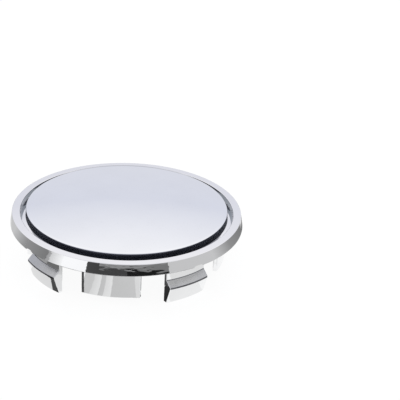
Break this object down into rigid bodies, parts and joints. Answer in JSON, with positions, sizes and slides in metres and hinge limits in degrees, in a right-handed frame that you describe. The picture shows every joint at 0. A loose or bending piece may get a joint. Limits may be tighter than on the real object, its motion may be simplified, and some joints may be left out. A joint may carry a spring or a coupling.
{
  "type": "wheel centre cap",
  "caption": "Round snap-in centre cap for a car wheel: a domed mirror-chrome face inside a groove and flat ring, with hook clips and plain tabs under the rim.",
  "frame": {"origin": "on the cap's axis, level with the clip tips that it lies on", "axes": "+Z along the cap's axis, out of its face; hook clips on X and Y"},
  "size_m": [0.0608, 0.0608, 0.0166],
  "materials": {
    "chrome_plating": "bright decorative chrome plating over moulded ABS"
  },
  "bodies": {
    "root": {"centre_cap": "chrome_plating"}
  },
  "joints": []
}
